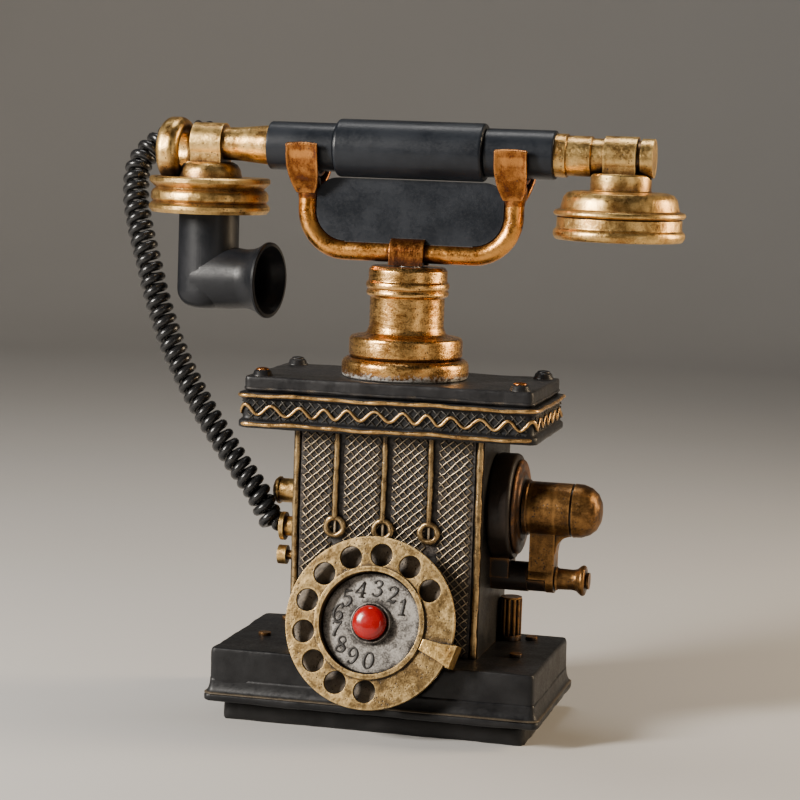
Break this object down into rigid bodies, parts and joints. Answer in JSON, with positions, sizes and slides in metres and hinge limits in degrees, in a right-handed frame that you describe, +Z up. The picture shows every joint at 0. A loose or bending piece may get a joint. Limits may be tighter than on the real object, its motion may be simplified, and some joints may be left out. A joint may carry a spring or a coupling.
{
  "type": "telephone",
  "caption": "Antique-pattern desk telephone: stepped base, square case with rotary dial and magneto crank, turned column, forked cradle, handset with elbow mouthpiece and coiled cord.",
  "frame": {"origin": "centre of the base underside, on the table", "axes": "+Z up, the dial faces -Y, +X towards the crank and the earpiece"},
  "size_m": [0.2666, 0.1007, 0.269],
  "materials": {
    "dark_wood": "satin black-stained",
    "base_metal": "satin black over cast metal, worn",
    "case_black": "satin black",
    "lattice": "raised gilt lattice on black",
    "gilt": "rubbed gilt, pitted casting",
    "bronze": "dark antique bronze with rubbed edges",
    "copper": "rubbed copper",
    "slate": "smooth dark grey lacquer",
    "black_metal": "gloss black",
    "steel": "satin",
    "dish": "satin silver",
    "red": "gloss red",
    "magnet_red": "gloss",
    "cord_black": "gloss black coiled jacket"
  },
  "bodies": {
    "case": {"base_plinth": "dark_wood", "base_block": "base_metal", "base_screws": "gilt", "case_shell": "case_black", "back_panel": "case_black", "front_panel": "lattice", "corner_beads": "gilt", "front_rods": "gilt", "cornice": "bronze", "slab": "base_metal", "slab_screws": "gilt", "bearing_cap": "gilt", "cord_gland": "gilt", "terminal_nut": "gilt", "ribbed_post": "bronze", "crank_drum": "case_black", "escutcheon": "copper", "park_boss": "case_black", "column_flange": "bronze", "column": "bronze", "dial_mount": "case_black", "dial_spindle": "steel", "number_cup": "dish", "finger_stop": "gilt", "magneto_frame": "steel", "magnets": "magnet_red", "ringer_coils": "copper", "gongs": "gilt", "hook_contacts": "steel", "curly_cord": "cord_black"},
    "dial_wheel": {"finger_wheel": "gilt", "wheel_gear": "gilt"},
    "governor": {"governor": "steel"},
    "button": {"dial_button": "red"},
    "crank": {"crank_shaft": "steel", "crank_hub": "bronze", "crank_arm": "bronze", "crank_nose": "bronze", "crank_gear": "gilt"},
    "grip": {"crank_grip": "gilt"},
    "armature": {"armature": "copper"},
    "clapper": {"clapper": "gilt"},
    "cradle": {"plunger": "steel", "bar_strap": "copper", "cradle_bar": "bronze", "saddle_left": "copper", "saddle_right": "copper", "cradle_web": "slate"},
    "handset": {"grip_middle": "slate", "grip_ends": "slate", "handset_tubes": "gilt", "end_fittings": "gilt", "hanging_ring": "gilt", "transmitter": "gilt", "mouthpiece": "black_metal", "receiver_shell": "gilt", "receiver_cap": "gilt", "receiver_unit": "steel", "handset_gland": "gilt"}
  },
  "joints": [
    {"name": "dial_turn", "type": "hinge", "parent": "case", "child": "dial_wheel", "pos_m": [0, -0.045, 0.051], "axis": [0, 0.9613, -0.2756], "range_deg": [0, 286], "stiffness_Nm_per_rad": 0.008, "springref_deg": -34.38},
    {"name": "governor_spin", "type": "hinge", "parent": "case", "child": "governor", "pos_m": [0, -0.041, 0.06494], "axis": [0, 0.9613, -0.2756], "range_deg": [-860, 0]},
    {"name": "button_press", "type": "slide", "parent": "case", "child": "button", "axis": [0, 0.9613, -0.2756], "range_m": [0, 0.0022], "stiffness_N_per_m": 250, "springref_m": -0.001},
    {"name": "crank_turn", "type": "hinge", "parent": "case", "child": "crank", "pos_m": [0, 0.009, 0.098], "axis": [1, 0, 0], "continuous": true},
    {"name": "grip_spin", "type": "hinge", "parent": "crank", "child": "grip", "pos_m": [0.08, 0.009, 0.0665], "axis": [1, 0, 0], "continuous": true},
    {"name": "armature_spin", "type": "hinge", "parent": "case", "child": "armature", "pos_m": [0, 0.009, 0.0658], "axis": [1, 0, 0], "continuous": true},
    {"name": "clapper_swing", "type": "hinge", "parent": "case", "child": "clapper", "pos_m": [0, 0.0155, 0.107], "axis": [0, 1, 0], "range_deg": [-10, 10], "stiffness_Nm_per_rad": 0.002},
    {"name": "handset_lift", "type": "slide", "parent": "case", "child": "handset", "axis": [0, 0, 1], "range_m": [0, 0.06], "deforming": ["curly_cord"]},
    {"name": "cradle_rise", "type": "slide", "parent": "case", "child": "cradle", "axis": [0, 0, 1], "range_m": [0, 0.004]}
  ],
  "couplings": [
    {"joint": "governor_spin", "follows": "dial_turn", "ratio": -3},
    {"joint": "armature_spin", "follows": "crank_turn", "ratio": -3},
    {"joint": "cradle_rise", "follows": "handset_lift", "ratio": 0.066667}
  ]
}
